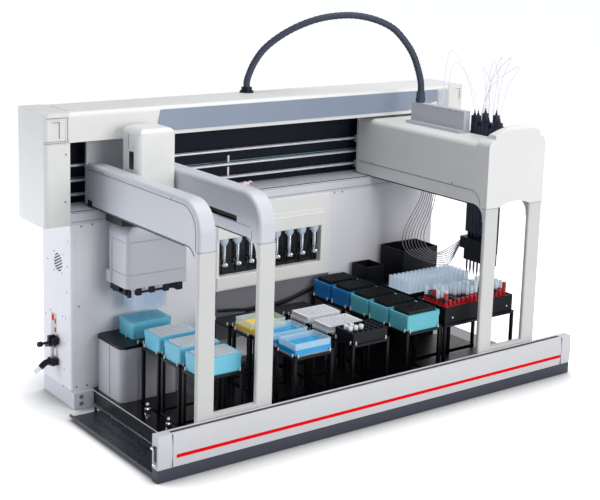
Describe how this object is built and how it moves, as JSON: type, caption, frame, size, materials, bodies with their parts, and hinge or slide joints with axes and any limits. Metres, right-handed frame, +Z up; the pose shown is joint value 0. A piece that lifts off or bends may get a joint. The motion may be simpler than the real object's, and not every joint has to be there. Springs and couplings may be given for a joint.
{
  "type": "liquid handling robot",
  "caption": "Benchtop liquid handler: gantry arms on a rear bridge carry a multichannel tip head with gripper jaws and a row of probes over a deck of racks, plates and troughs.",
  "frame": {"origin": "on the floor under the middle of the machine's width and depth, without the hose above it", "axes": "+X to the machine's right as seen from the front, +Y to the back, +Z up"},
  "size_m": [1.556, 0.75, 1.1059],
  "materials": {
    "base_white": "satin",
    "deck_black": "satin",
    "smoky_grey": "smoky, perforated look",
    "beam_white": "satin",
    "skirt_grey": "satin",
    "panel_grey": "fine texture",
    "cover_white": "satin",
    "gloss_black": "gloss",
    "clear_glass": "clear",
    "bright_steel": "bright",
    "switch_black": "satin",
    "interior_black": "matt",
    "rail_silver": "anodised",
    "band_blue": "satin",
    "hose_blue": "ribbed, matt",
    "loader_grey": "satin",
    "stand_black": "satin",
    "box_cyan": "translucent",
    "tip_white": "gloss",
    "trough_clear": "clear",
    "plate_white": "gloss",
    "rack_black": "satin",
    "tube_clear": "clear",
    "leg_white": "satin",
    "guide_black": "black anodised",
    "head_grey": "anodised",
    "tip_clear": "clear",
    "gripper_black": "black anodised",
    "duct_grey": "satin",
    "pod_black": "black anodised",
    "probe_slate": "anodised",
    "line_clear": "clear"
  },
  "bodies": {
    "workstation": {"base_frame": "base_white", "deck_plates": "deck_black", "side_tray": "smoky_grey", "front_beam": "beam_white", "beam_caps": "beam_white", "front_skirt": "skirt_grey", "side_panels": "panel_grey", "front_panels": "panel_grey", "back_panel": "panel_grey", "pump_frame": "cover_white", "pump_plate": "gloss_black", "syringe_bodies": "clear_glass", "hose_fittings": "switch_black", "top_shelf": "panel_grey", "rail_plate": "interior_black", "x_rails": "rail_silver", "bridge_cover": "cover_white", "bridge_caps": "cover_white", "bridge_band": "band_blue", "umbilical_hose": "hose_blue", "tip_loader": "loader_grey", "loader_plate": "stand_black", "deck_stands": "stand_black", "tip_racks": "box_cyan", "tip_tops": "tip_white", "reservoirs": "trough_clear", "microplates": "plate_white", "tube_racks": "rack_black", "sample_tubes": "tube_clear", "deck_bins": "rack_black"},
    "plungers": {"syringe_plungers": "bright_steel"},
    "rocker": {"power_switch": "switch_black"},
    "left_bridge": {"left_arches": "cover_white", "left_legs": "leg_white", "left_rails": "guide_black", "left_carriage": "rail_silver"},
    "left_pod": {"z_tower": "cover_white", "pod_saddle": "guide_black"},
    "left_head": {"head_cover": "cover_white", "head_column": "rail_silver", "tip_head": "head_grey", "pipette_tips": "tip_clear"},
    "left_jaw": {"jaw_left": "gripper_black"},
    "right_jaw": {"jaw_right": "gripper_black"},
    "right_bridge": {"right_shroud": "cover_white", "right_front_cover": "cover_white", "right_legs": "leg_white", "right_rails": "guide_black", "right_carriage": "rail_silver", "duct_box": "duct_grey", "fluid_lines": "line_clear"},
    "right_pod": {"probe_pod": "pod_black"},
    "probe_1_body": {"probe_1": "probe_slate"},
    "probe_2_body": {"probe_2": "probe_slate"},
    "probe_3_body": {"probe_3": "probe_slate"},
    "probe_4_body": {"probe_4": "probe_slate"},
    "probe_5_body": {"probe_5": "probe_slate"},
    "probe_6_body": {"probe_6": "probe_slate"},
    "probe_7_body": {"probe_7": "probe_slate"},
    "probe_8_body": {"probe_8": "probe_slate"}
  },
  "joints": [
    {"name": "left_arm_x", "type": "slide", "parent": "workstation", "child": "left_bridge", "axis": [1, 0, 0], "range_m": [-0.08, 0.56]},
    {"name": "left_arm_y", "type": "slide", "parent": "left_bridge", "child": "left_pod", "axis": [0, 1, 0], "range_m": [-0.36, 0.012]},
    {"name": "head_z", "type": "slide", "parent": "left_pod", "child": "left_head", "axis": [0, 0, -1], "range_m": [0, 0.06]},
    {"name": "left_jaw_slide", "type": "slide", "parent": "left_head", "child": "left_jaw", "axis": [1, 0, 0], "range_m": [0, 0.008]},
    {"name": "right_jaw_slide", "type": "slide", "parent": "left_head", "child": "right_jaw", "axis": [-1, 0, 0], "range_m": [0, 0.008]},
    {"name": "right_arm_x", "type": "slide", "parent": "workstation", "child": "right_bridge", "axis": [1, 0, 0], "range_m": [-0.6, 0.08], "deforming": ["umbilical_hose"]},
    {"name": "right_arm_y", "type": "slide", "parent": "right_bridge", "child": "right_pod", "axis": [0, 1, 0], "range_m": [-0.012, 0.2], "deforming": ["fluid_lines"]},
    {"name": "probe_1_z", "type": "slide", "parent": "right_pod", "child": "probe_1_body", "axis": [0, 0, 1], "range_m": [-0.008, 0.08]},
    {"name": "probe_2_z", "type": "slide", "parent": "right_pod", "child": "probe_2_body", "axis": [0, 0, 1], "range_m": [-0.008, 0.08]},
    {"name": "probe_3_z", "type": "slide", "parent": "right_pod", "child": "probe_3_body", "axis": [0, 0, 1], "range_m": [-0.008, 0.08]},
    {"name": "probe_4_z", "type": "slide", "parent": "right_pod", "child": "probe_4_body", "axis": [0, 0, 1], "range_m": [-0.008, 0.08]},
    {"name": "probe_5_z", "type": "slide", "parent": "right_pod", "child": "probe_5_body", "axis": [0, 0, 1], "range_m": [-0.008, 0.08]},
    {"name": "probe_6_z", "type": "slide", "parent": "right_pod", "child": "probe_6_body", "axis": [0, 0, 1], "range_m": [-0.008, 0.08]},
    {"name": "probe_7_z", "type": "slide", "parent": "right_pod", "child": "probe_7_body", "axis": [0, 0, 1], "range_m": [-0.008, 0.08]},
    {"name": "probe_8_z", "type": "slide", "parent": "right_pod", "child": "probe_8_body", "axis": [0, 0, 1], "range_m": [-0.008, 0.08]},
    {"name": "syringe_drive", "type": "slide", "parent": "workstation", "child": "plungers", "axis": [0, 0, -1], "range_m": [0, 0.022]},
    {"name": "power_rocker", "type": "hinge", "parent": "workstation", "child": "rocker", "pos_m": [-0.686, 0.3095, 0.226], "axis": [0, 1, 0], "range_deg": [-8, 8]}
  ],
  "couplings": [
    {"joint": "right_jaw_slide", "follows": "left_jaw_slide", "ratio": 1}
  ]
}
